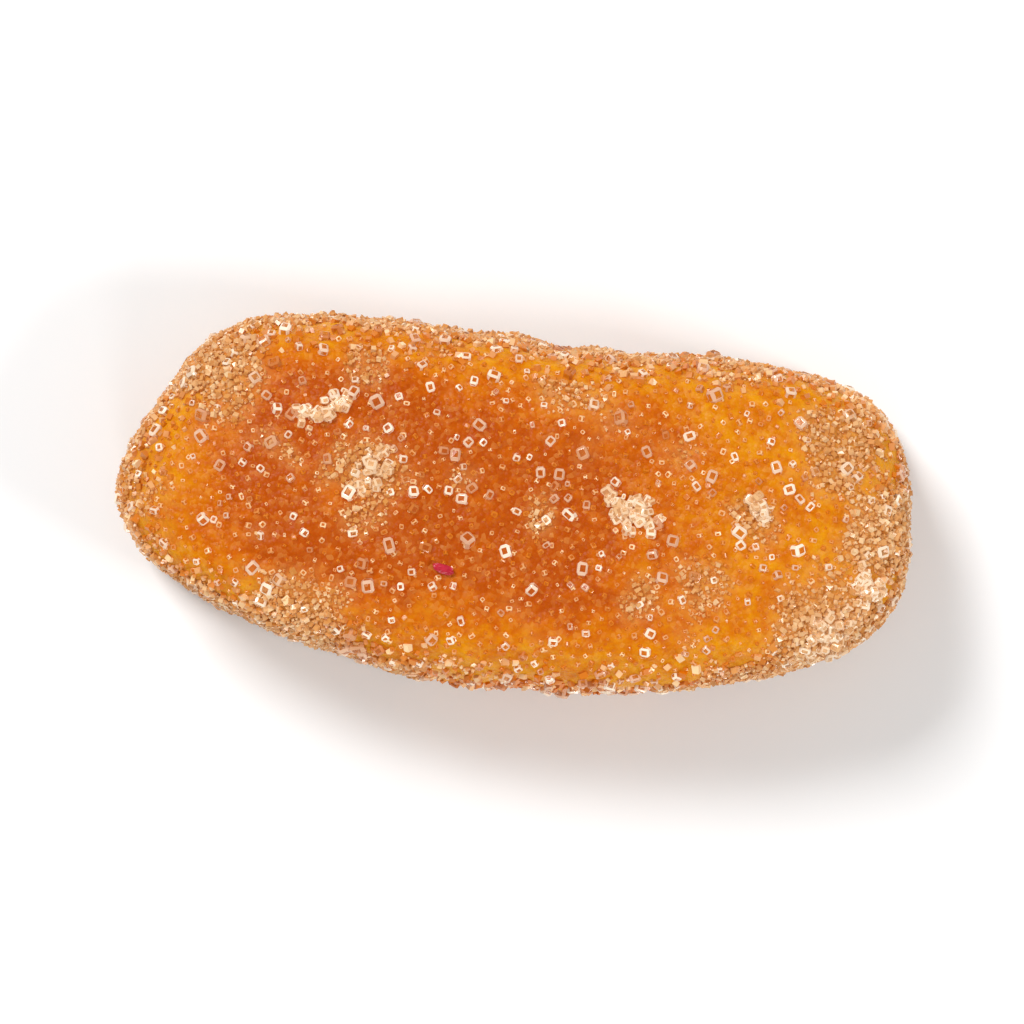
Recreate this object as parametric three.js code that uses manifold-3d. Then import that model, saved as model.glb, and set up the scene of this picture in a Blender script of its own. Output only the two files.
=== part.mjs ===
// A jelly orange slice: a half-moon of clear orange fruit jelly, cast in a mould and rolled in coarse sugar.
//
// Millimetres, +Z up. X runs along the slice, from one blunt end to the other. -Y is the curved back, where
// an orange has its rind, and +Y the straight edge. The slice lies on its flat cast face, and the origin is
// under its middle, on the surface that it lies on.

import * as THREE from "three";
import { mergeVertices } from "three/addons/utils/BufferGeometryUtils.js";
import { MeshSurfaceSampler } from "three/addons/math/MeshSurfaceSampler.js";
import { SimplexNoise } from "three/addons/math/SimplexNoise.js";
import Module from "manifold-3d";

const { degToRad, lerp, clamp } = THREE.MathUtils;

// The slice, over its coat of fine sugar.
const LENGTH = 47.6;
const WIDTH = 21.2;
const HEIGHT = 13.4;

// The outline, seen from above. Its two ends lean in towards the straight edge, the left one more.
const BACK_RADIUS = 50;
const LEFT_END = { reach: 21.5, lean: degToRad(30) };
const RIGHT_END = { reach: 23.5, lean: degToRad(13) };
const CORNER_SHARPNESS = 6.5;

// The loaf: how its face falls away from the thickest line, and how its rims are rounded.
const THICKEST_LINE = -3;
const FALL_TO_EDGE = 2.8;
const FALL_TO_BACK = 0.8;
const FALL_TO_ENDS = 2;
const TOP_ROUND = 3.8;
const BASE_ROUND = 2;
const DRAFT = 0.7;

// Unevenness of a soft sweet, and of the fine sugar on it.
const OUTLINE_WAVE = 0.14;
const FACE_WAVE = 0.3;
const FACE_SAG = 0.4;
const SUGAR_RELIEF = 0.16;
const SUGAR_PITCH = 2.6;

// The largest sugar crystals, which stand on the coat one by one and stuck together in clumps.
const CRYSTALS = 150;
const CRYSTAL_SMALLEST = 0.7;
const CRYSTAL_LARGEST = 1.1;
const CRYSTAL_SPACING = 2.6;
const CRYSTAL_LOWEST = 1.1;
const CRYSTAL_STANDS = 0.1;
const CLUMPS = [
  { x: 6.4, y: 0.9, across: 3.4, crystals: 8 },
  { x: 13.7, y: 2.0, across: 2.2, crystals: 4 },
  { x: -8.6, y: 1.5, across: 3.0, crystals: 5 },
  { x: -11.7, y: 4.5, across: 3.0, crystals: 6 },
  { x: 18.6, y: -4.9, across: 3.8, crystals: 9 },
  { x: 20.4, y: -1.8, across: 2.4, crystals: 5 },
];

// The mesh, in steps round the outline and rings from the base to the face.
const OUTLINE_STEPS = 100;
const BASE_RINGS = 2;
const ROUND_RINGS = 4;
const WALL_RINGS = 3;
const FACE_RINGS = 7;
const SEED = 142;

function seededRandom(seed) {
  let state = seed;
  return () => {
    state = (state * 1664525 + 1013904223) % 4294967296;
    return state / 4294967296;
  };
}

const random = seededRandom(SEED);
const sugarNoise = new SimplexNoise({ random });

// How far the slice reaches from its middle towards angle: a soft minimum of the ways to the curved back,
// the straight edge and the two leaning ends, so that every corner comes out rounded.
function outline(angle) {
  const x = Math.cos(angle);
  const y = Math.sin(angle);
  const arcMiddle = BACK_RADIUS - WIDTH / 2;
  const toBack = y * arcMiddle + Math.sqrt((y * arcMiddle) ** 2 + BACK_RADIUS ** 2 - arcMiddle ** 2);
  const toEdge = WIDTH / 2 / y;
  const toLeft = LEFT_END.reach / (y * Math.sin(LEFT_END.lean) - x * Math.cos(LEFT_END.lean));
  const toRight = RIGHT_END.reach / (y * Math.sin(RIGHT_END.lean) + x * Math.cos(RIGHT_END.lean));
  const ahead = [toBack, toEdge, toLeft, toRight].filter((way) => way > 0);
  const closeness = ahead.reduce((sum, way) => sum + way ** -CORNER_SHARPNESS, 0);
  const wave = Math.sin(3 * angle + 0.7) + 0.7 * Math.sin(7 * angle + 2.1) + 0.5 * Math.sin(13 * angle + 4.4);
  return closeness ** (-1 / CORNER_SHARPNESS) + OUTLINE_WAVE * wave;
}

// The thickness of the slice at a place, before its rims are rounded.
function thickness(x, y) {
  const toEdge = Math.max(0, (y - THICKEST_LINE) / (WIDTH / 2 - THICKEST_LINE));
  const toBack = Math.max(0, (THICKEST_LINE - y) / (WIDTH / 2 + THICKEST_LINE));
  const toEnds = x / (LENGTH / 2);
  const fall = FALL_TO_EDGE * toEdge ** 2 + FALL_TO_BACK * toBack ** 2 + FALL_TO_ENDS * toEnds ** 4;
  const sag = FACE_SAG * Math.exp(-((x / 13) ** 2) - ((y - 1) / 5) ** 2);
  const wave = FACE_WAVE * Math.sin(0.21 * x + 0.5) * Math.cos(0.25 * y);
  return HEIGHT - fall - sag - wave;
}

// Half of a round loaf in section, from the middle of its base up its side to the middle of its face.
function loafProfile() {
  const points = [];
  const add = (inset, height) => points.push(new THREE.Vector2(WIDTH / 2 - inset, height));
  const wallTop = HEIGHT - TOP_ROUND;
  const faceInset = DRAFT + TOP_ROUND;
  for (let i = 0; i < BASE_RINGS; i++) {
    add(lerp(WIDTH / 2, BASE_ROUND, i / BASE_RINGS), 0);
  }
  for (let i = 0; i <= ROUND_RINGS; i++) {
    const angle = (Math.PI / 2) * (i / ROUND_RINGS);
    add(BASE_ROUND * (1 - Math.sin(angle)), BASE_ROUND * (1 - Math.cos(angle)));
  }
  for (let i = 1; i < WALL_RINGS; i++) {
    add(DRAFT * (i / WALL_RINGS), lerp(BASE_ROUND, wallTop, i / WALL_RINGS));
  }
  for (let i = 0; i <= ROUND_RINGS; i++) {
    const angle = (Math.PI / 2) * (i / ROUND_RINGS);
    add(DRAFT + TOP_ROUND * (1 - Math.cos(angle)), wallTop + TOP_ROUND * Math.sin(angle));
  }
  for (let i = 1; i <= FACE_RINGS; i++) {
    add(lerp(faceInset, WIDTH / 2, i / FACE_RINGS), HEIGHT);
  }
  return points;
}

// The jelly: the round loaf stretched to the slice's outline and thickness, with its rims kept as round as
// they were, and roughened by the fine sugar everywhere but under the base.
function jellyGeometry() {
  const geometry = new THREE.LatheGeometry(loafProfile(), OUTLINE_STEPS).rotateX(Math.PI / 2);
  const rim = DRAFT + TOP_ROUND;
  const inner = WIDTH / 2 - rim;
  const position = geometry.getAttribute("position");
  const point = new THREE.Vector3();
  for (let i = 0; i < position.count; i++) {
    point.fromBufferAttribute(position, i);
    const radius = Math.hypot(point.x, point.y);
    const angle = Math.atan2(point.y, point.x);
    const reach = outline(angle);
    const stretched = radius > inner ? reach - (WIDTH / 2 - radius) : (radius * (reach - rim)) / inner;
    const height = point.z / HEIGHT;
    point.set(stretched * Math.cos(angle), stretched * Math.sin(angle), 0);
    point.z = height * thickness(point.x, point.y);
    const pitched = point.clone().divideScalar(SUGAR_PITCH);
    const rough = SUGAR_RELIEF * sugarNoise.noise3d(pitched.x, pitched.y, pitched.z);
    const sideways = clamp((radius - inner) / rim, 0, 1) * Math.sign(height);
    point.x += rough * sideways * Math.cos(angle);
    point.y += rough * sideways * Math.sin(angle);
    point.z += rough * height;
    position.setXYZ(i, point.x, point.y, point.z);
  }
  return geometry;
}

const wasm = await Module();
wasm.setup();

function closedGeometry(geometry) {
  const bare = geometry.clone();
  bare.deleteAttribute("normal");
  bare.deleteAttribute("uv");
  return mergeVertices(bare, 1e-4);
}

function solidFrom(geometry) {
  const closed = closedGeometry(geometry);
  return new wasm.Manifold(
    new wasm.Mesh({
      numProp: 3,
      vertProperties: closed.getAttribute("position").array,
      triVerts: new Uint32Array(closed.index.array),
    }),
  );
}

function geometryFrom(solid) {
  const mesh = solid.getMesh();
  const geometry = new THREE.BufferGeometry();
  geometry.setAttribute("position", new THREE.BufferAttribute(mesh.vertProperties, 3));
  geometry.setIndex(new THREE.BufferAttribute(mesh.triVerts, 1));
  return geometry;
}

// One blocky sugar crystal, tumbled any way up, half sunk in what it sticks to.
function crystalSolid(place, outward, size) {
  const crystal = new THREE.BoxGeometry(size, size * lerp(0.8, 1.3, random()), size * 0.9);
  const tumble = new THREE.Euler(random() * Math.PI, random() * Math.PI, random() * Math.PI);
  crystal.applyMatrix4(new THREE.Matrix4().makeRotationFromEuler(tumble));
  const centre = place.clone().addScaledVector(outward, size * CRYSTAL_STANDS);
  crystal.translate(centre.x, centre.y, centre.z);
  return solidFrom(crystal);
}

// Single crystals, spread evenly over the face and the sides.
function singleCrystals(jelly) {
  const sampler = new MeshSurfaceSampler(jelly).setRandomGenerator(random).build();
  const places = [];
  const solids = [];
  while (solids.length < CRYSTALS) {
    const place = new THREE.Vector3();
    const outward = new THREE.Vector3();
    sampler.sample(place, outward);
    const free = places.every((other) => other.distanceTo(place) > CRYSTAL_SPACING);
    if (place.z > CRYSTAL_LOWEST && free) {
      const size = lerp(CRYSTAL_SMALLEST, CRYSTAL_LARGEST, random() ** 2);
      places.push(place);
      solids.push(crystalSolid(place, outward.normalize(), size));
    }
  }
  return solids;
}

// Crystals stuck together in a heap, dropped on the face from above, the first ones stacked highest.
function clumpCrystals(jelly, { x, y, across, crystals }) {
  const down = new THREE.Vector3(0, 0, -1);
  const goldenAngle = degToRad(137.5);
  const solids = [];
  for (let i = 0; i < crystals; i++) {
    const spread = ((across - CRYSTAL_LARGEST) / 2) * Math.sqrt(i / (crystals - 1));
    const above = new THREE.Vector3(spread, 0, 2 * HEIGHT).applyAxisAngle(down, i * goldenAngle);
    above.add(new THREE.Vector3(x, y, 0));
    const [landing] = new THREE.Raycaster(above, down).intersectObject(jelly);
    const stacked = landing.point.addScaledVector(landing.face.normal, 0.35 * (1 - i / crystals));
    solids.push(crystalSolid(stacked, landing.face.normal, CRYSTAL_LARGEST));
  }
  return solids;
}

// The slice in one piece: crystals fused to the jelly, with the pockets between them filled and any
// crystal that missed it dropped.
function sugaredSlice() {
  const jelly = new THREE.Mesh(jellyGeometry());
  const clumps = CLUMPS.flatMap((clump) => clumpCrystals(jelly, clump));
  const crystals = [...clumps, ...singleCrystals(jelly)];
  const fused = crystals.reduce((whole, crystal) => whole.add(crystal), solidFrom(jelly.geometry));
  const [solid] = fused.decompose().sort((a, b) => b.volume() - a.volume());
  const geometry = geometryFrom(solid);
  geometry.computeBoundingBox();
  const middle = geometry.boundingBox.getCenter(new THREE.Vector3());
  return geometry.translate(-middle.x, -middle.y, 0);
}

const sugaredJelly = new THREE.MeshStandardMaterial({ color: 0xe2841f, roughness: 0.5, metalness: 0 });
const slice = new THREE.Mesh(sugaredSlice(), sugaredJelly);
slice.name = "jelly_slice";

const root = new THREE.Group();
root.add(slice);
export default root;
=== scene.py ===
# %% [markdown]
# # A jelly orange slice
# The real thing is a half-moon of clear orange fruit jelly, cast in a starch mould and rolled in
# coarse sugar. Seen close, it is two materials: a soft body that glows where light passes through
# it, and thousands of hard little crystals. So it is made in that order here: the jelly first, then
# the sugar from the finest grain to the clumps, then the finishes, the light and the camera.
# Lengths are in metres, +Z is up, X runs along the slice, -Y is the curved back and +Y the
# straight edge.

# %% [markdown]
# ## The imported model
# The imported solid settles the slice's size and place. A slice modelled by eye would drift from it,
# so the solid is loaded first, and its box is kept, so that all that is made here can be held
# inside it.

# %% Load the frame
import math

import bmesh
import bpy
import numpy as np
from mathutils import Matrix, Vector, noise
from mathutils.bvhtree import BVHTree


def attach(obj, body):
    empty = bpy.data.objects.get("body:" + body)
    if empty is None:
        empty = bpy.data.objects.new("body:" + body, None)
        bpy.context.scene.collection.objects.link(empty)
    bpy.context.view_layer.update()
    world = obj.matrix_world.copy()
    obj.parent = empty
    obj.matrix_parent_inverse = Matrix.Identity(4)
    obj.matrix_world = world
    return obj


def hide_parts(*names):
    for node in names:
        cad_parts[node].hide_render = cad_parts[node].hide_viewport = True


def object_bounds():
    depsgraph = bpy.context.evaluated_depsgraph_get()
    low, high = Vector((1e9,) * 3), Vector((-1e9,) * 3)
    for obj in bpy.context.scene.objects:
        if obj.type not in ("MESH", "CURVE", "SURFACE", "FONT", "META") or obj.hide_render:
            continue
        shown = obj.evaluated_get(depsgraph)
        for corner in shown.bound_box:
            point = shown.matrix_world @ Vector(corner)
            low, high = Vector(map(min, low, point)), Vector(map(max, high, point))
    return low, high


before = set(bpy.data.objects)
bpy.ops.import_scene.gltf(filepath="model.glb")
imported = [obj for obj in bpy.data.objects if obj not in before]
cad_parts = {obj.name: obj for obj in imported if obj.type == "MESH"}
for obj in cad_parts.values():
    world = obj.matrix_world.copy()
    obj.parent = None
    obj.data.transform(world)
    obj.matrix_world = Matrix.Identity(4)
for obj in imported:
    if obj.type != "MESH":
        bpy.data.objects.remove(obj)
cad_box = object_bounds()
cad_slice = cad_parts["jelly_slice"]
MM = 0.001
print("frame box, mm:", [round(v / MM, 2) for corner in cad_box for v in corner])

# %% [markdown]
# ## The slice's measures
# These are the driving sizes that the solid was built from. The finer ones stand in the steps that
# use them. The body is made again from them, because the solid is coarse and has its largest
# crystals fused on, and a smooth body can't be got back out of that.

# %% Measures
LENGTH = 47.6 * MM
WIDTH = 21.2 * MM
HEIGHT = 13.4 * MM
print("slice", LENGTH / MM, "x", WIDTH / MM, "x", HEIGHT / MM, "mm")

# %% [markdown]
# ## The outline
# Seen from above, the slice is held between a round back, a straight edge and two leaning ends. It
# could be drawn as four lines with rounded corners. A soft minimum of the four is shorter, and it
# rounds every corner a little differently, as a starch mould does.

# %% Outline
BACK_RADIUS = 50 * MM
LEFT_END = {"reach": 21.5 * MM, "lean": math.radians(30)}
RIGHT_END = {"reach": 23.5 * MM, "lean": math.radians(13)}
CORNER_SHARPNESS = 6.5
OUTLINE_WAVE = 0.14 * MM
RIPPLES = [
    {"turns": 3, "start": 0.7, "share": 1.0},
    {"turns": 7, "start": 2.1, "share": 0.7},
    {"turns": 13, "start": 4.4, "share": 0.5},
]
OUTLINE_SAMPLES = 721


def outline(angle):
    """How far the slice reaches from its middle towards each angle."""
    x, y = np.cos(angle), np.sin(angle)
    arc_middle = BACK_RADIUS - WIDTH / 2
    to_back = y * arc_middle + np.sqrt((y * arc_middle) ** 2 + BACK_RADIUS**2 - arc_middle**2)
    faces = [(1 / to_back), y / (WIDTH / 2)]
    for side, end in ((-1, LEFT_END), (1, RIGHT_END)):
        faces.append((y * math.sin(end["lean"]) + side * x * math.cos(end["lean"])) / end["reach"])
    closeness = sum(np.maximum(face * MM, 0) ** CORNER_SHARPNESS for face in faces)
    wave = sum(r["share"] * np.sin(r["turns"] * angle + r["start"]) for r in RIPPLES)
    return MM * closeness ** (-1 / CORNER_SHARPNESS) + OUTLINE_WAVE * wave


angles = np.linspace(-np.pi, np.pi, OUTLINE_SAMPLES)
reaches = outline(angles)
print("outline reaches from and to, mm:", np.round([reaches.min() / MM, reaches.max() / MM], 1))

# %% [markdown]
# ## The thickness
# The slice is thickest on a line near its back and falls away from there. The middle of the face
# sags a little, as jelly does when it sets, and a slow wave keeps it from looking machined. A
# sculpted face would do too, but a formula lets every later step ask for the height at a place.

# %% Thickness
THICKEST_LINE = -3 * MM
FALL_TO_EDGE = 2.8 * MM
FALL_TO_BACK = 0.8 * MM
FALL_TO_ENDS = 2 * MM
FACE_SAG = {"depth": 0.4 * MM, "half_length": 13 * MM, "half_width": 5 * MM, "y": 1 * MM}
FACE_WAVE = {"depth": 0.3 * MM, "turns_along": 0.21 / MM, "turns_across": 0.25 / MM, "start": 0.5}


def thickness(x, y):
    """The slice's thickness at a place, before its rims are rounded."""
    to_edge = np.maximum(0, (y - THICKEST_LINE) / (WIDTH / 2 - THICKEST_LINE))
    to_back = np.maximum(0, (THICKEST_LINE - y) / (WIDTH / 2 + THICKEST_LINE))
    to_ends = x / (LENGTH / 2)
    fall = FALL_TO_EDGE * to_edge**2 + FALL_TO_BACK * to_back**2 + FALL_TO_ENDS * to_ends**4
    off_line = (y - FACE_SAG["y"]) / FACE_SAG["half_width"]
    from_sag = (x / FACE_SAG["half_length"]) ** 2 + off_line**2
    along, across = FACE_WAVE["turns_along"] * x, FACE_WAVE["turns_across"] * y
    wave = FACE_WAVE["depth"] * np.sin(along + FACE_WAVE["start"]) * np.cos(across)
    return HEIGHT - fall - FACE_SAG["depth"] * np.exp(-from_sag) - wave


print("thickness at the middle:", round(float(thickness(0.0, 0.0)) / MM, 2), "mm")

# %% [markdown]
# ## The loaf's section
# Cut across, the slice is a round-topped loaf: a flat base, a small lower round, a wall that leans
# in, and a wide upper round. An extruded outline with bevelled rims would be close, but its wall
# would stand upright. So the section is drawn, from the middle of the base out and back to the
# middle of the face, and shrunk by the coat, so that the sugar has room inside the solid.

# %% Section
TOP_ROUND = 3.8 * MM
BASE_ROUND = 2 * MM
DRAFT = 0.7 * MM
COAT = 0.24 * MM
PROFILE_RINGS = 14


def loaf_profile(inset, rings):
    """Half of the loaf in section, shrunk by inset: (distance from the outline, height) pairs."""
    turn = np.linspace(0, np.pi / 2, rings)
    top = HEIGHT - TOP_ROUND
    half = WIDTH / 2
    base = np.c_[np.linspace(half, BASE_ROUND, rings)[:-1], np.zeros(rings - 1)]
    base_arc = np.c_[BASE_ROUND * (1 - np.sin(turn)), BASE_ROUND * (1 - np.cos(turn))]
    wall = np.linspace(0, 1, rings)[1:-1, None] * [DRAFT, top - BASE_ROUND] + [0, BASE_ROUND]
    top_arc = np.c_[DRAFT + TOP_ROUND * (1 - np.cos(turn)), top + TOP_ROUND * np.sin(turn)]
    face = np.c_[np.linspace(DRAFT + TOP_ROUND, half, rings)[1:], np.full(rings - 1, HEIGHT)]
    profile = np.vstack([base, base_arc, wall, top_arc, face])
    middle = np.array([half, HEIGHT / 2])
    shrink = np.array([inset / half, 2 * inset / HEIGHT])
    return profile + (middle - profile) * shrink


profile = loaf_profile(COAT, PROFILE_RINGS)
print("points in the section:", len(profile))

# %% [markdown]
# ## A mesh from arrays
# The body is a grid of thousands of places, and the sugar will be many thousands more. Such places
# are quickest to work out as arrays and to hand to a mesh in one go. A mesh made this way starts
# out smooth-shaded, which would round off every facet of a crystal, so it is set to flat.


# %% A mesh from arrays
def in_scene(name, data):
    """An object in the scene, made of a mesh, a light or a camera."""
    made = bpy.data.objects.new(name, data)
    bpy.context.scene.collection.objects.link(made)
    return made


def mesh_object(name, vertices, faces):
    """A mesh object from an array of places and an array of faces, all with as many sides."""
    sides = faces.shape[1]
    mesh = bpy.data.meshes.new(name)
    mesh.vertices.add(len(vertices))
    mesh.vertices.foreach_set("co", vertices.astype(np.float32).ravel())
    mesh.loops.add(faces.size)
    mesh.loops.foreach_set("vertex_index", faces.astype(np.int32).ravel())
    mesh.polygons.add(len(faces))
    mesh.polygons.foreach_set("loop_start", np.arange(0, faces.size, sides, dtype=np.int32))
    mesh.update(calc_edges=True)
    mesh.shade_flat()
    return in_scene(name, mesh)


print("helpers:", in_scene.__name__, "and", mesh_object.__name__)

# %% [markdown]
# ## The jelly body
# The section is swept round the outline into a grid of rings, and each ring is lifted to the
# thickness where it lies. Blender's Screw modifier would turn it at one radius only, and here the
# radius changes all the way round. A fan of triangles closes each pole.

# %% Body
OUTLINE_STEPS = 360


def jelly_loaf():
    """The smooth body, stretched from the section to the outline and the thickness."""
    angle = np.linspace(-np.pi, np.pi, OUTLINE_STEPS, endpoint=False)
    reach = outline(angle)[None, :]
    inset, height = profile[1:-1, :1], profile[1:-1, 1:]
    rim, half = DRAFT + TOP_ROUND, WIDTH / 2
    share = np.clip((half - inset) / (half - rim), 0, 1)
    across = np.where(inset < rim, reach - inset, share * (reach - rim))
    x, y = across * np.cos(angle), across * np.sin(angle)
    rings = np.stack([x, y, height / HEIGHT * thickness(x, y)], axis=-1)
    top_middle = thickness(0.0, 0.0) * profile[-1, 1] / HEIGHT
    poles = np.array([[0, 0, profile[0, 1]], [0, 0, top_middle]])
    corner = np.arange(len(rings) * OUTLINE_STEPS).reshape(len(rings), OUTLINE_STEPS)
    after = np.roll(corner, -1, axis=1)
    low = np.stack([after[0], corner[0], np.full(OUTLINE_STEPS, corner.size)], axis=-1)
    high = np.stack([corner[-1], after[-1], np.full(OUTLINE_STEPS, corner.size + 1)], axis=-1)
    walls = np.stack([corner[:-1], after[:-1], after[1:], corner[1:]], axis=-1).reshape(-1, 4)
    triangles = np.vstack([walls[:, [0, 1, 2]], walls[:, [0, 2, 3]], low, high])
    return mesh_object("jelly", np.vstack([rings.reshape(-1, 3), poles]), triangles)


jelly = jelly_loaf()
print("body faces:", len(jelly.data.polygons))

# %% [markdown]
# ## Setting the body in the solid
# The solid has its origin under the middle of its box, and its box has fused crystals in it, so the
# body is set over it by the base, which carries none.

# %% Set over the solid's base
ON_THE_FLOOR = 1e-6
base_rim = (reaches - BASE_ROUND)[:, None] * np.c_[np.cos(angles), np.sin(angles)]
cad_base = np.array([v.co[:2] for v in cad_slice.data.vertices if v.co.z < ON_THE_FLOOR])
shift = np.zeros(3)
shift[:2] = (cad_base.min(0) + cad_base.max(0) - base_rim.min(0) - base_rim.max(0)) / 2
jelly.data.transform(Matrix.Translation(Vector(shift)))
print("body shifted by mm:", np.round(shift / MM, 3))

# %% [markdown]
# ## Even faces
# The swept grid is dense in the middle and sparse on the walls, and subdividing would keep it so. A
# voxel remesh gives small faces of one size all over, so the relief that comes next is as sharp on
# the sides as on the face.

# %% Even faces
FACE_SIZE = 0.2 * MM


def apply_modifiers(thing):
    """Swaps a piece's mesh for the one that its modifiers make."""
    modified = thing.evaluated_get(bpy.context.evaluated_depsgraph_get())
    made = bpy.data.meshes.new_from_object(modified)
    thing.modifiers.clear()
    thing.data = made


remesh = jelly.modifiers.new("even faces", "REMESH")
remesh.mode = "VOXEL"
remesh.voxel_size = FACE_SIZE
smooth = jelly.modifiers.new("smooth", "SMOOTH")
smooth.factor = 0.5
smooth.iterations = 4
apply_modifiers(jelly)
jelly.name = jelly.data.name = "jelly_body"
print("jelly faces:", len(jelly.data.polygons))

# %% [markdown]
# ## Relief
# Sugar that has melted in leaves the jelly lumpy. Three layers of smooth noise, each finer and
# shallower than the last, move its vertices in and out. It is real geometry and not a bump, so it
# also shows where the surface turns away. The base is held flat, above the sugar that it rests on.

# %% Relief
LUMPS = [
    {"pitch": 2.6 * MM, "depth": 0.22 * MM},
    {"pitch": 0.9 * MM, "depth": 0.1 * MM},
    {"pitch": 0.45 * MM, "depth": 0.08 * MM},
]
JELLY_BASE = 0.9 * COAT


def vertex_array(thing, what):
    """A mesh object's vertex places ("co") or normals ("normal") as an array."""
    flat = np.empty(len(thing.data.vertices) * 3, np.float32)
    thing.data.vertices.foreach_get(what, flat)
    return flat.reshape(-1, 3).astype(float)


co, normal = vertex_array(jelly, "co"), vertex_array(jelly, "normal")
for lump in LUMPS:
    lift = np.array([noise.noise(Vector(c / lump["pitch"])) for c in co])
    co += normal * (lump["depth"] * lift)[:, None]
co[:, 2] = np.maximum(co[:, 2], JELLY_BASE)
jelly.data.vertices.foreach_set("co", co.astype(np.float32).ravel())
jelly.data.polygons.foreach_set("use_smooth", np.ones(len(jelly.data.polygons), bool))
jelly.data.update()
print("jelly height:", round(co[:, 2].max() / MM, 2), "mm")

# %% [markdown]
# ## Where the sugar lies
# Sugar clings thickest to the sides, the rims and the two ends, and heaps up at the right-hand
# end. On the broad face most of it has melted in, so the orange shows between single crystals. One
# stretch of the back has been rubbed bare. These places are named here, in millimetres from the
# middle. They could be painted by hand, but a list is easier to move about.

# %% Thick and bare places
FROSTED = [
    {"x": 19.1, "y": -5.1, "across": 8.0, "cover": 1.0},
    {"x": 21.5, "y": 1.4, "across": 5.5, "cover": 0.95},
    {"x": 18.5, "y": 5.6, "across": 5.5, "cover": 0.7},
    {"x": 11.7, "y": -3.1, "across": 4.0, "cover": 0.45},
    {"x": -18.2, "y": 6.2, "across": 6.0, "cover": 0.7},
    {"x": -21.6, "y": -1.4, "across": 4.4, "cover": 0.35},
    {"x": -11.9, "y": -8.0, "across": 7.5, "cover": 0.75},
    {"x": -8.6, "y": 1.5, "across": 5.0, "cover": 0.6},
]
BARE = {"x": 4.5, "y": -10.4, "across": 18.0, "deep": 4.6, "loss": 0.9}
print(len(FROSTED), "thick places, and a bare one", BARE["across"], "mm long")

# %% [markdown]
# ## Noise with soft borders
# A rule for the sugar needs two things that Blender's nodes have and numpy lacks: a smooth step,
# for borders that aren't hard, and smooth noise, for borders that aren't straight. A layer of noise
# has a pitch, the size of its blotches, and a seed that makes it unlike the others.


# %% Smooth step and noise
def smoothstep(low, high, value):
    """0 below low, 1 above high, and a soft slope between."""
    t = np.clip((value - low) / (high - low), 0, 1)
    return t * t * (3 - 2 * t)


def clouds(places, layer):
    """Smooth noise from -1 to 1 at places, by a layer's pitch and seed."""
    start = Vector((layer["seed"], 0, 0))
    return np.array([noise.noise(Vector(p / layer["pitch"]) + start) for p in places])


print("half way up a smooth step:", float(smoothstep(0, 1, 0.5)))

# %% [markdown]
# ## Sugar cover
# One function gives the share of sugar at any place, from 0, bare jelly, to 1, frosted over, and
# every layer of sugar asks it, so that they all agree. Noise frays the border of each place.

# %% Sugar cover
FRAY = {"pitch": 2.4 * MM, "seed": 3, "reach": 1.3 * MM}
FINE_FRAY = {"pitch": 0.9 * MM, "seed": 5, "share": 0.5}
STEEPNESS = (0.1, 0.75)
WALL = {"share": 0.5, "fray": 0.75, "least": 0.1, "most": 0.95}
PATCH_BORDER = (0.4, 1.3)
SCATTER = {"pitch": 3.2 * MM, "seed": 21, "share": 0.45, "border": (0.15, 0.6)}
UNDERSIDE = {"share": 0.8, "facing": -0.5}
BARE_BORDER = (0.6, 1.2)
BARE_FRAY = 0.3


def sugar_cover(places, normals):
    """From 0, bare jelly, to 1, frosted over."""
    x, y = places[:, 0] / MM, places[:, 1] / MM
    fray = clouds(places, FRAY) + FINE_FRAY["share"] * clouds(places, FINE_FRAY)
    steep = 1 - smoothstep(*STEEPNESS, np.abs(normals[:, 2]))
    layers = [steep * np.clip(WALL["share"] + WALL["fray"] * fray, WALL["least"], WALL["most"])]
    for patch in FROSTED:
        edge = patch["across"] / 2
        inner, outer = PATCH_BORDER[0] * edge, PATCH_BORDER[1] * edge
        away = np.hypot(x - patch["x"], y - patch["y"]) + FRAY["reach"] / MM * fray
        layers.append(patch["cover"] * (1 - smoothstep(inner, outer, away)))
    layers.append(SCATTER["share"] * smoothstep(*SCATTER["border"], clouds(places, SCATTER)))
    layers.append(UNDERSIDE["share"] * (normals[:, 2] < UNDERSIDE["facing"]))
    along, inward = (x - BARE["x"]) / (BARE["across"] / 2), (y - BARE["y"]) / (BARE["deep"] / 2)
    from_bare = np.hypot(along, inward) + BARE_FRAY * fray
    lost = BARE["loss"] * (1 - smoothstep(*BARE_BORDER, from_bare))
    return np.clip(np.max(layers, axis=0) * (1 - lost), 0, 1)


print("mean cover of the jelly:", round(float(sugar_cover(co, normal).mean()), 2))

# %% [markdown]
# ## Scattering
# Grains could be scattered by a particle system or by Geometry Nodes. Drawing the places in code
# keeps the spacing under control: grains never lie closer than sugar can, and the spacing can
# follow the cover. Samples are drawn evenly by area, and then thinned.

# %% Random places on the jelly
SEED = 142
FINE_SAMPLES = 150000
rng = np.random.default_rng(SEED)


def surface_samples(thing, count):
    """Random places on a mesh, evenly by area, with their normals."""
    thing.data.calc_loop_triangles()
    corners = np.empty(len(thing.data.loop_triangles) * 3, np.int32)
    thing.data.loop_triangles.foreach_get("vertices", corners)
    a, b, c = np.moveaxis(vertex_array(thing, "co")[corners.reshape(-1, 3)], 1, 0)
    cross = np.cross(b - a, c - a)
    area = np.linalg.norm(cross, axis=1)
    pick = rng.choice(len(area), count, p=area / area.sum())
    u, v = rng.random((2, count, 1))
    over = u + v > 1
    u, v = np.where(over, 1 - u, u), np.where(over, 1 - v, v)
    places = a[pick] + u * (b - a)[pick] + v * (c - a)[pick]
    return places, cross[pick] / area[pick][:, None]


places, normals = surface_samples(jelly, FINE_SAMPLES)
cover = sugar_cover(places, normals)
print("places drawn:", len(places))

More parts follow.
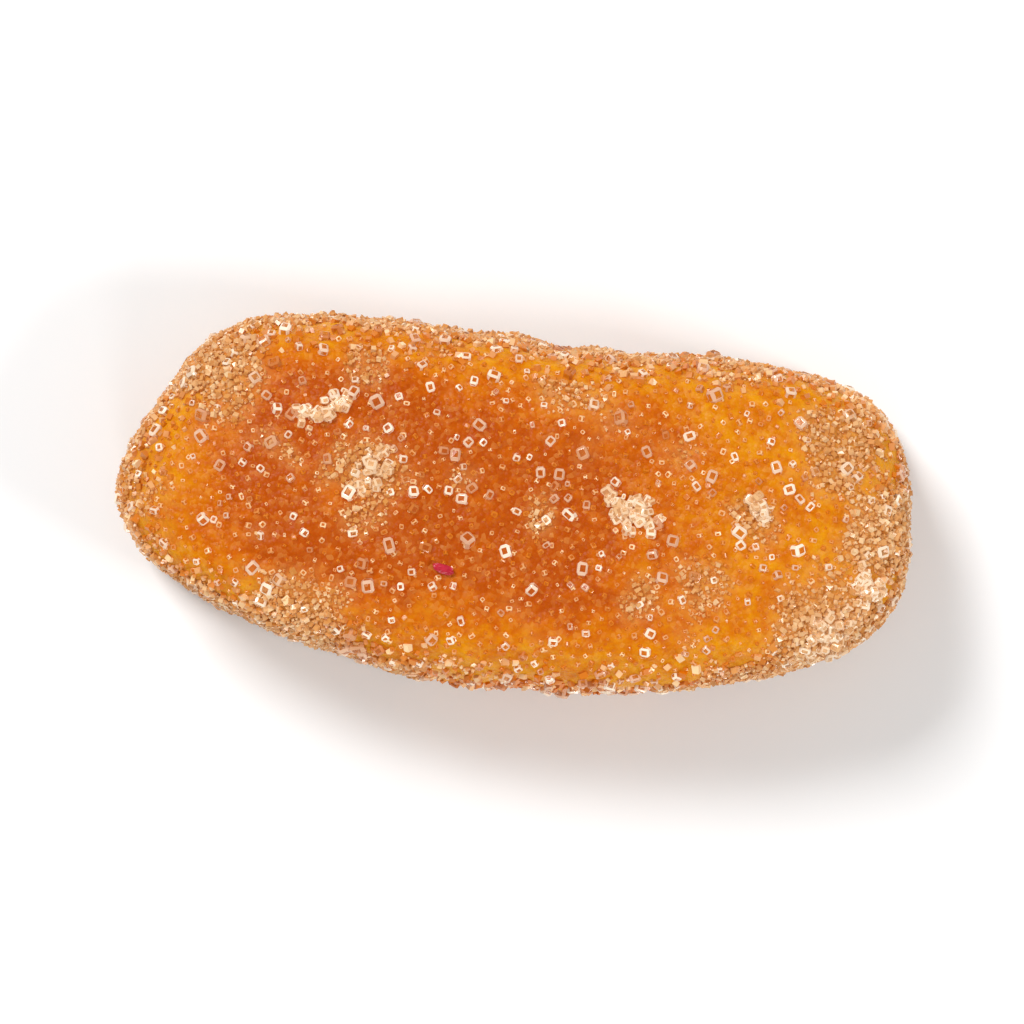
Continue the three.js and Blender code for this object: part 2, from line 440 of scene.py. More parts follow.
# %% [markdown]
# ## Spacing
# Each place is kept only if nothing kept before it is nearer than its own spacing. Geometry Nodes
# can space points too, but by one distance for all of them. A grid of cells as wide as the widest
# spacing means that only the neighbouring cells are looked at.


# %% Spacing
def spaced(places, spacing, limit):
    """Which places to keep so that each is at least its own spacing from those before it."""
    cell = float(np.max(spacing))
    grid, kept = {}, []
    keys = np.floor(places / cell).astype(int).tolist()
    for i, (place, key) in enumerate(zip(places.tolist(), keys)):
        x, y, z = place
        reach = spacing[i] ** 2
        near = (
            other
            for dx in (-1, 0, 1)
            for dy in (-1, 0, 1)
            for dz in (-1, 0, 1)
            for other in grid.get((key[0] + dx, key[1] + dy, key[2] + dz), ())
        )
        if all((x - o[0]) ** 2 + (y - o[1]) ** 2 + (z - o[2]) ** 2 > reach for o in near):
            grid.setdefault(tuple(key), []).append(place)
            kept.append(i)
            if len(kept) == limit:
                break
    return np.array(kept)


TRIAL = 4000
trial_spacing = np.full(TRIAL, 2 * MM)
kept = spaced(places[:TRIAL], trial_spacing, TRIAL)
print("of", TRIAL, "places, kept 2 mm apart:", len(kept))

# %% [markdown]
# ## Crystal shapes
# A crystal of sugar is a small block with cut edges. Fine grains show as specks, so a plain block
# with uneven corners does, and dust is only an eight-sided chip. A large crystal shows its facets:
# its edges are bevelled, and each side gets a ring of faces just inside them, because light that
# enters a real crystal comes out at its edges and draws a bright line round every side. That line
# is a painted highlight: a shape is kept as its corners, its faces, and a 1 for each corner that
# takes the painted bright line.

# %% Small crystals
BLOCK = (
    np.array([[x, y, z] for x in (-1, 1) for y in (-1, 1) for z in (-1, 1)]) / 2,
    np.array([[0, 1, 3, 2], [4, 6, 7, 5], [0, 4, 5, 1], [2, 3, 7, 6], [0, 2, 6, 4], [1, 5, 7, 3]]),
    np.ones(8),
)
CHIP_REACH = 0.62
BELT = ((0, 2), (2, 1), (1, 3), (3, 0))
CHIP = (
    np.array([[-1, 0, 0], [1, 0, 0], [0, -1, 0], [0, 1, 0], [0, 0, -1], [0, 0, 1]]) * CHIP_REACH,
    np.array([[a, b, 5] for a, b in BELT] + [[b, a, 4] for a, b in BELT]),
    np.ones(6),
)
print("triangles in a block:", 2 * len(BLOCK[1]), "and in a chip:", len(CHIP[1]))

# %% [markdown]
# The large crystal is bevelled and inset by Blender's own mesh operators, on one cube, which is
# then copied as arrays. Its outer corners are told from its inner ones by where they lie: only an
# outer one is as near to a second side as the cut is wide.

# %% Large crystal
CUT = 0.18
CUT_SLACK = 1.01
RING = 0.12


def cut_block(cut, ring):
    """A block with cut edges and a ring of faces in each of its six sides."""
    made = bmesh.new()
    bmesh.ops.create_cube(made, size=1)
    bmesh.ops.bevel(made, geom=made.edges[:], offset=cut, segments=1, affect="EDGES")
    sides = sorted(made.faces, key=lambda face: face.calc_area())[-6:]
    bmesh.ops.inset_individual(made, faces=sides, thickness=ring)
    bmesh.ops.triangulate(made, faces=made.faces[:])
    made.verts.index_update()
    corners = np.array([vertex.co for vertex in made.verts])
    faces = np.array([[vertex.index for vertex in face.verts] for face in made.faces])
    made.free()
    from_second_side = 0.5 - np.sort(np.abs(corners), axis=1)[:, 1]
    return corners, faces, (from_second_side < CUT_SLACK * cut).astype(float)


CUT_BLOCK = cut_block(CUT, RING)
print("large crystal:", len(CUT_BLOCK[1]), "triangles,", int(CUT_BLOCK[2].sum()), "outer corners")

# %% [markdown]
# ## Crystals on the jelly
# One mesh holds every crystal of a kind. Instances would be lighter, but then all would be alike.
# Each crystal is stood on the surface and then tipped, by a little where crystals lie flat on the
# jelly, and by any amount where they are heaped. Each has its own proportions and a tint of its
# own, kept on the mesh for the material: shade is the crystal's draw, frost is the cover where it
# lies, and edge is 1 at its outer corners. What would stand out of the solid's box is left off.


# %% Crystals on the jelly
PROPORTIONS = ([0.8, 0.75, 0.65], [1.25, 1.1, 1.0])
BOX_SLACK = 1e-9


def unit(vectors):
    """Vectors brought to a length of 1."""
    return vectors / np.linalg.norm(vectors, axis=1)[:, None]


def stand(normals, tumble):
    """Rotation matrices that stand blocks on a surface, spun at random and tipped by tumble."""
    count = len(normals)
    up = unit(normals + tumble * rng.normal(size=(count, 3)))
    along = unit(np.cross(up, rng.normal(size=(count, 3))))
    return np.stack([along, np.cross(up, along), up], axis=2)


def set_values(thing, name, values):
    """Stores one number a vertex, for a material to read."""
    stored = thing.data.attributes.new(name, "FLOAT", "POINT")
    stored.data.foreach_set("value", values.astype(np.float32))


def crystals(name, shape, places, normals, sizes, frost, jitter, tumble):
    """One mesh with a crystal at every place, each with its own proportions and tint."""
    corners, faces, edge = shape
    count, n = len(places), len(corners)
    proportions = sizes[:, None] * rng.uniform(*PROPORTIONS, (count, 3))
    local = (corners[None] + rng.uniform(-jitter, jitter, (count, n, 3))) * proportions[:, None]
    co = places[:, None] + np.einsum("cij,cnj->cni", stand(normals, tumble), local)
    co[:, :, 2] -= np.minimum(0, co[:, :, 2].min(1))[:, None]
    low, high = np.array(cad_box[0]), np.array(cad_box[1])
    inside = ((co > low - BOX_SLACK) & (co < high + BOX_SLACK)).all((1, 2))
    co, frost = co[inside], frost[inside]
    joined = (faces[None] + n * np.arange(len(co))[:, None, None]).reshape(-1, faces.shape[1])
    made = mesh_object(name, co.reshape(-1, 3), joined)
    set_values(made, "shade", np.repeat(rng.random(len(co)), n))
    set_values(made, "frost", np.repeat(frost, n))
    # edge marks the outer corners that take the painted highlight
    set_values(made, "edge", np.tile(edge, len(co)))
    print(name, "has", len(co), "crystals,", len(joined) * (faces.shape[1] - 2), "triangles")
    return made


print("helpers:", [helper.__name__ for helper in (unit, stand, set_values, crystals)])

# %% [markdown]
# ## Layers of sugar
# The fine sugar is laid in layers that differ only in where they lie, how close and how coarse they
# are, so one helper lays them all, on the places drawn last. Each layer is a piece of its own, to
# stay light enough to handle: under 200,000 triangles.

# %% A layer of sugar
TRIANGLES_A_PIECE = 199000


def most(shape):
    """How many crystals of a shape one piece may hold."""
    faces = shape[1]
    return TRIANGLES_A_PIECE // (len(faces) * (faces.shape[1] - 2))


def between(ends, share):
    """The number that lies a share of the way from the first of two ends to the second."""
    return ends[0] + (ends[1] - ends[0]) * share


def sugar_layer(name, shape, where, spacing, grain, lift, jitter, tumble):
    """A piece of sugar on the marked places, each grain lifted by a share of its size."""
    kept = spaced(places[where], spacing[where], most(shape))
    spots, tops, frost = places[where][kept], normals[where][kept], cover[where][kept]
    sizes = rng.uniform(*grain, len(kept))
    raised = spots + (lift * sizes)[:, None] * tops
    return crystals(name, shape, raised, tops, sizes, frost, jitter, tumble)


print("most crystals in a piece:", most(CUT_BLOCK), "large or", most(BLOCK), "small")

# %% [markdown]
# ## Fine sugar on the face
# On the broad face the finest sugar has half melted in, so it lies flat. Each grain shows as a
# speck with a painted highlight round its edges and an orange middle. A painted texture could show
# specks, but only real facets catch the light. A spacing is a pair: wide on bare jelly, and close
# where it is frosted.

# %% Face sugar
FACE_UP = 0.72
FACE_SPACING = (0.56 * MM, 0.32 * MM)
FACE_GRAIN = (0.14 * MM, 0.34 * MM)
upper = normals[:, 2] > FACE_UP
spacing = between(FACE_SPACING, np.sqrt(cover))
fine_sugar = sugar_layer(
    "face_sugar", CUT_BLOCK, upper, spacing, FACE_GRAIN, lift=0.1, jitter=0.03, tumble=0.5
)

# %% [markdown]
# ## Fine sugar on the sides and the base
# On the sides the sugar stays whole and lies any way up, and where they are bare only a few grains
# are left. The sides are seen less closely than the face, so plain blocks are enough.

# %% Side sugar
FACE_DOWN = -0.6
ANY_WAY_UP = 3.0
SIDE_SPACING = (0.6 * MM, 0.32 * MM)
SIDE_GRAIN = (0.2 * MM, 0.42 * MM)
LONE_GRAINS = 0.02
GRAINS_PER_COVER = 2
on_side = (normals[:, 2] <= FACE_UP) & (normals[:, 2] > FACE_DOWN)
around = on_side & (rng.random(len(cover)) < LONE_GRAINS + GRAINS_PER_COVER * cover)
spacing = between(SIDE_SPACING, cover)
side_sugar = sugar_layer(
    "side_sugar", BLOCK, around, spacing, SIDE_GRAIN, lift=0.2, jitter=0.1, tumble=ANY_WAY_UP
)

# %% [markdown]
# The base has lain on sugar, and is covered evenly. It hardly shows, so one spacing is enough.

# %% Base sugar
BASE_SPACING = 0.42 * MM
below = normals[:, 2] <= FACE_DOWN
spacing = np.full(len(places), BASE_SPACING)
base_sugar = sugar_layer(
    "base_sugar", BLOCK, below, spacing, SIDE_GRAIN, lift=0.0, jitter=0.1, tumble=ANY_WAY_UP
)

# %% [markdown]
# ## Frosting
# Where the sugar lies thick, a second layer of smaller grains stands on the first. Pale paint alone
# would end in a smooth line, and grains give a broken one. The thicker the cover, the likelier a
# grain, so the layer thins out towards its border.

# %% Frosting
FROSTING_SAMPLES = 110000
FROSTING_COVER = (0.3, 0.6)
FROSTING_SPACING_MM = (0.16, 0.3)
FROSTING_GRAIN = (0.13 * MM, 0.3 * MM)
places, normals = surface_samples(jelly, FROSTING_SAMPLES)
cover = sugar_cover(places, normals)


def thickly_covered(least, spread):
    """Which places above the base have more cover than a limit drawn from least upwards."""
    return (cover > least + spread * rng.random(len(cover))) & (normals[:, 2] > FACE_DOWN)


thick = thickly_covered(*FROSTING_COVER)
spacing = rng.uniform(*FROSTING_SPACING_MM, len(places)) * MM
frosting = sugar_layer(
    "frosting", BLOCK, thick, spacing, FROSTING_GRAIN, lift=0.75, jitter=0.12, tumble=ANY_WAY_UP
)

# %% [markdown]
# Dust from broken crystals fills the gaps between the grains, which is what makes a sugar crust
# look soft and pale.

# %% Dust
DUST_COVER = (0.15, 0.65)
DUST_SPACING = 0.2 * MM
DUST_GRAIN = (0.14 * MM, 0.28 * MM)
dusty = thickly_covered(*DUST_COVER)
spacing = np.full(len(places), DUST_SPACING)
dust = sugar_layer(
    "sugar_dust", CHIP, dusty, spacing, DUST_GRAIN, lift=0.45, jitter=0.15, tumble=ANY_WAY_UP
)

# %% [markdown]
# ## Large crystals
# Coarse sugar crystals stand singly and in small groups all over the slice. Few are large and many
# are small, so their sizes are drawn with a power. They lie nearly flat on the jelly, each showing
# one side as a small window whose edges carry a painted highlight. One even spacing would look like
# a pattern, so noise draws them together here and apart there.

# %% Coarse sugar
COARSE_SAMPLES = 9000
COARSE_GRAIN = (0.34 * MM, 0.78 * MM)
FEW_LARGE = 1.7
ALONE_TO_CROWDED = (1.9 * MM, 0.65 * MM)
CROWD = {"pitch": 1.9 * MM, "seed": 33, "border": (-0.1, 0.5)}
COARSE_LIFT = 0.2
places, normals = surface_samples(jelly, COARSE_SAMPLES)
crowd = smoothstep(*CROWD["border"], clouds(places, CROWD))
kept = spaced(places, between(ALONE_TO_CROWDED, crowd), most(CUT_BLOCK))
spots, tops = places[kept], normals[kept]
sizes = between(COARSE_GRAIN, rng.random(len(kept)) ** FEW_LARGE)
raised = spots + (COARSE_LIFT * sizes)[:, None] * tops
frost = sugar_cover(spots, tops)
coarse_sugar = crystals(
    "coarse_sugar", CUT_BLOCK, raised, tops, sizes, frost, jitter=0.035, tumble=0.2
)

# %% [markdown]
# ## Clumps
# Damp sugar sticks together in small heaps, and the largest show from a step away. They stand where
# the solid has them, each long and narrow and turned its own way. Places and sizes are in
# millimetres, and turns in degrees.

# %% Clumps
CLUMPS = [
    {"x": 6.4, "y": 0.9, "across": 3.4, "turn": -15, "crystals": 60},
    {"x": 13.7, "y": 2.0, "across": 2.2, "turn": -20, "crystals": 24},
    {"x": -8.6, "y": 1.5, "across": 3.0, "turn": 70, "crystals": 34},
    {"x": -11.7, "y": 4.5, "across": 3.0, "turn": 30, "crystals": 36},
    {"x": 18.6, "y": -4.9, "across": 4.2, "turn": 40, "crystals": 90},
    {"x": 20.4, "y": -1.8, "across": 2.8, "turn": 80, "crystals": 40},
]
CLUMP_NARROWNESS = 0.62
print("clumps:", len(CLUMPS), "with", sum(clump["crystals"] for clump in CLUMPS), "crystals")

# %% [markdown]
# Each crystal of a heap is dropped on the jelly by a ray from above. A simulation would heap them
# too, but a ray lands each where it is wanted. The rays are cast in millimetres, because the very
# small triangles of a model in metres can be missed.

# %% Dropping things on the jelly
DROP_FROM = 20
faces = [tuple(face.vertices) for face in jelly.data.polygons]
surface = BVHTree.FromPolygons((vertex_array(jelly, "co") / MM).tolist(), faces)


def drop_on(x, y):
    """The place on the jelly under x and y, in millimetres, and its normal; None beside it."""
    above = Vector((x, y, DROP_FROM)) + Vector(shift / MM)
    place, normal, _, _ = surface.ray_cast(above, Vector((0, 0, -1)))
    return None if place is None else (np.array(place), np.array(normal))


landed = drop_on(CLUMPS[0]["x"], CLUMPS[0]["y"])
print("height of the jelly under the first clump:", round(landed[0][2], 2), "mm")

# %% [markdown]
# A heap is highest in its middle: the further out a crystal falls, the lower it may lie.

# %% Heaping the crystals
HEAP_FOOT = 0.05
HEAP_HEIGHT = 0.7
HEAP_SPREAD = 0.5
CLUMP_GRAIN_MM = (0.28, 0.6)
heaps, heap_tops = [], []
for clump in CLUMPS:
    half, turn = clump["across"] / 2, math.radians(clump["turn"])
    for _ in range(clump["crystals"]):
        spread = np.clip(rng.normal(0, HEAP_SPREAD, 2), -1, 1)
        long, short = spread * half * [1.0, CLUMP_NARROWNESS]
        landed = drop_on(
            clump["x"] + long * math.cos(turn) - short * math.sin(turn),
            clump["y"] + long * math.sin(turn) + short * math.cos(turn),
        )
        if landed is not None:
            place, normal = landed
            inwards = 1 - math.hypot(long, short) / half
            heaps.append((place + normal * (HEAP_FOOT + HEAP_HEIGHT * rng.random() * inwards)) * MM)
            heap_tops.append(normal)
heaps, heap_tops = np.array(heaps), np.array(heap_tops)
sizes = rng.uniform(*CLUMP_GRAIN_MM, len(heaps)) * MM
frost = np.ones(len(heaps))
clumps = crystals(
    "sugar_clumps", CUT_BLOCK, heaps, heap_tops, sizes, frost, jitter=0.02, tumble=ANY_WAY_UP
)

# %% [markdown]
# ## A crumb
# A crumb of dark red jelly has stuck to the face. It could be sculpted, but at its size a ball made
# lumpy, bent and flattened shows as much. It is laid on the surface by the same ray.

# %% Crumb
CRUMB = {"x": -3.8, "y": -3.7, "size": (1.3 * MM, 0.5 * MM, 0.3 * MM), "lift": 0.25, "turn": -12}
CRUMB_LUMPS = {"depth": 0.35, "scale": 2.7}
CRUMB_BEND = 0.35
made = bmesh.new()
bmesh.ops.create_icosphere(made, subdivisions=3, radius=0.5)
for vertex in made.verts:
    vertex.co *= 1 + CRUMB_LUMPS["depth"] * noise.noise(vertex.co * CRUMB_LUMPS["scale"])
    vertex.co.y += CRUMB_BEND * vertex.co.x**2
    vertex.co = Vector(CRUMB["size"]) * vertex.co
crumb_mesh = bpy.data.meshes.new("red_crumb")
made.to_mesh(crumb_mesh)
made.free()
place, normal = drop_on(CRUMB["x"], CRUMB["y"])
upright = Vector((0, 0, 1)).rotation_difference(Vector(normal)).to_matrix().to_4x4()
turned = upright @ Matrix.Rotation(math.radians(CRUMB["turn"]), 4, "Z")
crumb_mesh.transform(Matrix.Translation(Vector((place + CRUMB["lift"] * normal) * MM)) @ turned)
crumb = in_scene("red_crumb", crumb_mesh)
print("crumb faces:", len(crumb_mesh.polygons))

# %% [markdown]
# ## Material helpers
# Materials are graphs of nodes. These helpers add a node, join it up and hand back the socket that
# comes next, so each material below reads as the few choices that matter.


# %% Material helpers
def new_material(name):
    """A material with its Principled shader."""
    material = bpy.data.materials.new(name)
    material.use_nodes = True
    tree = material.node_tree
    return material, tree, tree.nodes["Principled BSDF"]


def add(tree, kind, **values):
    """A node with its inputs or properties set by name."""
    node = tree.nodes.new(kind)
    for key, value in values.items():
        if hasattr(node, key):
            setattr(node, key, value)
        else:
            node.inputs[key.replace("_", " ")].default_value = value
    return node


def feed(tree, socket, value):
    """Links a socket to another, or sets it to a number or a colour."""
    if isinstance(value, bpy.types.NodeSocket):
        tree.links.new(value, socket)
    elif isinstance(value, tuple):
        socket.default_value = (*value, 1)
    else:
        socket.default_value = value


def srgb(r, g, b):
    """A colour as a screen shows it, 0 to 255, in the linear values that nodes take."""
    shares = (r / 255, g / 255, b / 255)
    return tuple(v / 12.92 if v <= 0.04045 else ((v + 0.055) / 1.055) ** 2.4 for v in shares)


print("mid orange in linear values:", [round(v, 3) for v in srgb(212, 108, 4)])

# %% [markdown]
# Arithmetic, blends and ramps come up in every material, so each has a one-line form.


# %% Arithmetic, blends and ramps
def math_node(tree, operation, *values):
    """A math node, fed with sockets or numbers."""
    node = add(tree, "ShaderNodeMath", operation=operation)
    for socket, value in zip(node.inputs, values):
        feed(tree, socket, value)
    return node.outputs[0]


def weighted_sum(tree, start, *terms):
    """Start plus each socket times its weight, held between 0 and 1."""
    for socket, weight in terms:
        start = math_node(tree, "MULTIPLY_ADD", socket, weight, start)
    start.node.use_clamp = True
    return start


def blend(tree, share, first, second):
    """A mix of two colours. Its sockets go by number, because names come up twice in this node."""
    node = add(tree, "ShaderNodeMix", data_type="RGBA")
    for number, value in ((0, share), (6, first), (7, second)):
        feed(tree, node.inputs[number], value)
    return node.outputs[2]


def ramp(tree, factor, stops):
    """A colour ramp from (position, colour) stops."""
    node = tree.nodes.new("ShaderNodeValToRGB")
    elements = node.color_ramp.elements
    while len(elements) < len(stops):
        elements.new(0.5)
    for element, (position, colour) in zip(elements, stops):
        element.position = position
        element.color = (*colour, 1)
    tree.links.new(factor, node.inputs["Fac"])
    return node.outputs["Color"]


def attribute(tree, name):
    """The numbers that a piece keeps for its vertices under a name."""
    return add(tree, "ShaderNodeAttribute", attribute_name=name).outputs["Fac"]


helpers = (math_node, weighted_sum, blend, ramp, attribute)
print("helpers:", [helper.__name__ for helper in helpers])

# %% [markdown]
# ## Effects that materials share
# An effect that more than one material needs is a node group, built once and placed in each with
# its own scale. Patches are soft blotches of noise, for jelly that is cloudy and sugar that is
# unevenly damp.


# %% Patches
def node_group(name, scale, outputs, kind, **values):
    """A shader node group round a texture, fed by a Vector and a Scale: group, texture and end."""
    group = bpy.data.node_groups.new(name, "ShaderNodeTree")
    group.interface.new_socket("Vector", in_out="INPUT", socket_type="NodeSocketVector")
    size = group.interface.new_socket("Scale", in_out="INPUT", socket_type="NodeSocketFloat")
    size.default_value = scale
    for label in outputs:
        group.interface.new_socket(label, in_out="OUTPUT", socket_type="NodeSocketFloat")
    start, texture = group.nodes.new("NodeGroupInput"), add(group, kind, **values)
    for label in ("Vector", "Scale"):
        group.links.new(start.outputs[label], texture.inputs[label])
    return group, texture, group.nodes.new("NodeGroupOutput")


patches, cloud, end = node_group(
    "patches", 300.0, ["Mask"], "ShaderNodeTexNoise", Detail=3.0, Roughness=0.6
)
sharpen = add(patches, "ShaderNodeMapRange", From_Min=0.36, From_Max=0.64)
patches.links.new(cloud.outputs["Fac"], sharpen.inputs["Value"])
patches.links.new(sharpen.outputs["Result"], end.inputs["Mask"])
print("group", patches.name, "puts out a mask")

# %% [markdown]
# Grit is what sugar leaves in jelly that it has melted into: round grains side by side. It comes
# out as a height for a bump, and as a speck, one random value for each grain.

# %% Grit
grit, cells, end = node_group("grit", 2600.0, ["Height", "Speck"], "ShaderNodeTexVoronoi")
round_off = add(grit, "ShaderNodeMapRange", From_Min=0.0, From_Max=0.75, To_Min=1.0, To_Max=0.0)
each = add(grit, "ShaderNodeSeparateColor")
grit.links.new(cells.outputs["Distance"], round_off.inputs["Value"])
grit.links.new(cells.outputs["Color"], each.inputs["Color"])
grit.links.new(round_off.outputs["Result"], end.inputs["Height"])
grit.links.new(each.outputs[0], end.inputs["Speck"])


def use_group(tree, group, scale):
    """A node group placed in a material, fed with object coordinates."""
    node = tree.nodes.new("ShaderNodeGroup")
    node.node_tree = group
    place = add(tree, "ShaderNodeTexCoord").outputs["Object"]
    tree.links.new(place, node.inputs["Vector"])
    node.inputs["Scale"].default_value = scale
    return node


print("group", grit.name, "puts out a height and a speck")

# %% [markdown]
# ## How deep the jelly is
# Clear jelly is deeper in colour where light goes through more of it: its thin rims and ends glow
# yellow, and its middle is a deep orange. Real absorption through a whole volume would be slow and
# noisy, so the depth is worked out for each vertex and the colour follows it.

# %% Jelly depth
RIM_GLOW = 8 * MM
DEEPEST_AT = -5 * MM
END_GLOW = {"share": 0.8, "border": (0.3, 0.85)}


def rim_distance(places):
    """How far inside the outline each place lies, seen from above."""
    x, y = places[:, 0] - shift[0], places[:, 1] - shift[1]
    return outline(np.arctan2(y, x)) - np.hypot(x, y)


co, normal = vertex_array(jelly, "co"), vertex_array(jelly, "normal")
to_end = np.abs(co[:, 0] - DEEPEST_AT) / (LENGTH / 2)
end_glow = END_GLOW["share"] * smoothstep(*END_GLOW["border"], to_end)
depth = smoothstep(0, RIM_GLOW, rim_distance(co)) * (1 - end_glow)
set_values(jelly, "jelly_depth", depth)
set_values(jelly, "sugar_cover", sugar_cover(co, normal))
print("deepest jelly:", round(float(depth.max()), 2))

# %% [markdown]
# ## Jelly
# The ramp runs from the yellow of a thin rim to the orange of the middle, disturbed by large and
# small patches. Melted sugar adds pale specks, and under a thick crust the jelly itself is frosted.
# A single orange would look like plastic, because a clear thing is never of one colour.

# %% Jelly colour
THIN_TO_DEEP = [
    (0.0, srgb(224, 146, 4)),
    (0.3, srgb(214, 124, 0)),
    (0.65, srgb(202, 98, 0)),
    (1.0, srgb(184, 78, 0)),
]
LARGE_PATCHES = {"scale": 240.0, "weight": 0.34}
SMALL_PATCHES = {"scale": 1100.0, "weight": 0.4}
GRAIN_SCALE = 3600.0
MELTED_SUGAR = {"colour": srgb(236, 168, 84), "rarity": 4.0, "share": 0.3}
FROSTED_JELLY = {"colour": srgb(226, 158, 84), "share": 0.9}
jelly_material, tree, shader = new_material("orange_jelly")
large_patches = use_group(tree, patches, LARGE_PATCHES["scale"]).outputs["Mask"]
small_patches = use_group(tree, patches, SMALL_PATCHES["scale"]).outputs["Mask"]
deepness = weighted_sum(
    tree,
    -(LARGE_PATCHES["weight"] + SMALL_PATCHES["weight"]) / 2,
    (attribute(tree, "jelly_depth"), 1.0),
    (large_patches, LARGE_PATCHES["weight"]),
    (small_patches, SMALL_PATCHES["weight"]),
)
body_colour = ramp(tree, deepness, THIN_TO_DEEP)
grains = use_group(tree, grit, GRAIN_SCALE)
lightest = math_node(tree, "POWER", grains.outputs["Speck"], MELTED_SUGAR["rarity"])
melted = math_node(tree, "MULTIPLY", lightest, MELTED_SUGAR["share"])
speckled = blend(tree, melted, body_colour, MELTED_SUGAR["colour"])
frost_share = math_node(tree, "MULTIPLY", attribute(tree, "sugar_cover"), FROSTED_JELLY["share"])
frosted = blend(tree, frost_share, speckled, FROSTED_JELLY["colour"])
tree.links.new(frosted, shader.inputs["Base Color"])
print("jelly colour has", len(tree.nodes), "nodes")

# %% [markdown]
# Some subsurface light softens the jelly, red further than blue. Its gloss is low, because a
# sugared jelly has no bare skin, and the grit lifts its surface a little.


# %% Jelly gloss
def lift_surface(tree, shader, height, strength, distance):
    """A bump on a shader's surface, from a socket that gives the height."""
    bump = add(tree, "ShaderNodeBump", Strength=strength, Distance=distance)
    tree.links.new(height, bump.inputs["Height"])
    tree.links.new(bump.outputs["Normal"], shader.inputs["Normal"])


shader.inputs["Roughness"].default_value = 0.38
shader.inputs["Specular IOR Level"].default_value = 0.1
shader.inputs["Subsurface Weight"].default_value = 0.3
shader.inputs["Subsurface Radius"].default_value = (1.0, 0.6, 0.2)
shader.inputs["Subsurface Scale"].default_value = 1.6 * MM
lift_surface(tree, shader, grains.outputs["Height"], strength=0.6, distance=0.09 * MM)
jelly.data.materials.append(jelly_material)
print("jelly finish has", len(tree.nodes), "nodes")

# %% [markdown]
# ## Sugar
# Sugar is colourless, but it looks like what lies under it. True glass would need many bounces of
# light and turn grey where crystals are heaped, so the look is laid on the surface: the colour
# follows the cover, from jelly-orange to pale peach, a crystal's edges carry a painted highlight,
# nearly white, for the light that real crystals send out at their edges, and the middle of a large
# crystal's side is partly clear, so the jelly shows in it.

# %% Sugar finish
SHADOW_CLEAR = 0.7
DAMP = {"scale": 900.0, "weight": 0.3}
CRUST = {"start": -0.25, "weight": 1.1}


def sugar_material(name, roughness, clear, rarity, bare, frosted, lightest):
    """Sugar with painted highlights on its edges; clear is how much its sides let through, rarity
    how few are light.
    """
    material, tree, shader = new_material(name)
    damp = use_group(tree, patches, DAMP["scale"]).outputs["Mask"]
    frost = attribute(tree, "frost")
    crust = weighted_sum(tree, CRUST["start"], (frost, CRUST["weight"]), (damp, DAMP["weight"]))
    # rim is 1 at a cut crystal's outer corners, where its painted highlight goes; a plain grain is
    # all rim
    rim = add(tree, "ShaderNodeMapRange", From_Min=0.15, From_Max=0.5)
    tree.links.new(attribute(tree, "edge"), rim.inputs["Value"])
    rim = rim.outputs["Result"]
    lightness = math_node(tree, "POWER", attribute(tree, "shade"), rarity)
    edge_highlight_and_tone = math_node(tree, "MULTIPLY", lightness, rim)
    # Painted highlight: the rim blends towards the lightest colour as far as each crystal's random
    # draw allows; on a plain grain this is a lighter tone all over
    colour = blend(tree, edge_highlight_and_tone, blend(tree, crust, bare, frosted), lightest)
    tree.links.new(colour, shader.inputs["Base Color"])
    shadow = add(tree, "ShaderNodeLightPath").outputs["Is Shadow Ray"]
    window = math_node(tree, "MULTIPLY_ADD", math_node(tree, "SUBTRACT", 1.0, rim), -clear, 1.0)
    lit_through = math_node(tree, "MULTIPLY_ADD", shadow, -SHADOW_CLEAR, window)
    tree.links.new(lit_through, shader.inputs["Alpha"])
    shader.inputs["Roughness"].default_value = roughness
    shader.inputs["IOR"].default_value = 1.54
    shader.inputs["Specular IOR Level"].default_value = 0.4
    print(name, "has", len(tree.nodes), "nodes")
    return material


print("helper:", sugar_material.__name__, "lets", SHADOW_CLEAR, "of the light through in shadows")

# %% [markdown]
# The four kinds of sugar differ in how clear and how light they are. Fine sugar takes the jelly's
# colour, frosting is pale and opaque, and the large crystals are the clearest, with the brightest
# painted highlights on their edges.

# %% Four kinds of sugar
fine_material = sugar_material(
    "fine_sugar", roughness=0.22, clear=0.5, rarity=3.0,
    bare=srgb(212, 116, 12), frosted=srgb(216, 146, 70), lightest=srgb(254, 220, 168),
)
frosting_material = sugar_material(
    "frosting_sugar", roughness=0.2, clear=0.0, rarity=2.0,
    bare=srgb(214, 138, 54), frosted=srgb(217, 152, 86), lightest=srgb(242, 204, 154),
)
coarse_material = sugar_material(
    "coarse_sugar", roughness=0.14, clear=0.7, rarity=0.9,
    bare=srgb(200, 110, 34), frosted=srgb(222, 164, 104), lightest=srgb(255, 240, 216),
)
clump_material = sugar_material(
    "clump_sugar", roughness=0.12, clear=0.45, rarity=1.0,
    bare=srgb(226, 170, 112), frosted=srgb(228, 176, 120), lightest=srgb(255, 234, 206),
)
for piece in (fine_sugar, side_sugar, base_sugar):
    piece.data.materials.append(fine_material)
for piece in (frosting, dust):
    piece.data.materials.append(frosting_material)
coarse_sugar.data.materials.append(coarse_material)
clumps.data.materials.append(clump_material)
print("sugars:", [material.name for material in bpy.data.materials if "sugar" in material.name])

# %% [markdown]
# ## Crumb
# The crumb is the same kind of jelly in a dark red. Its clouds and grit are the slice's own node
# groups, placed again at a smaller scale.

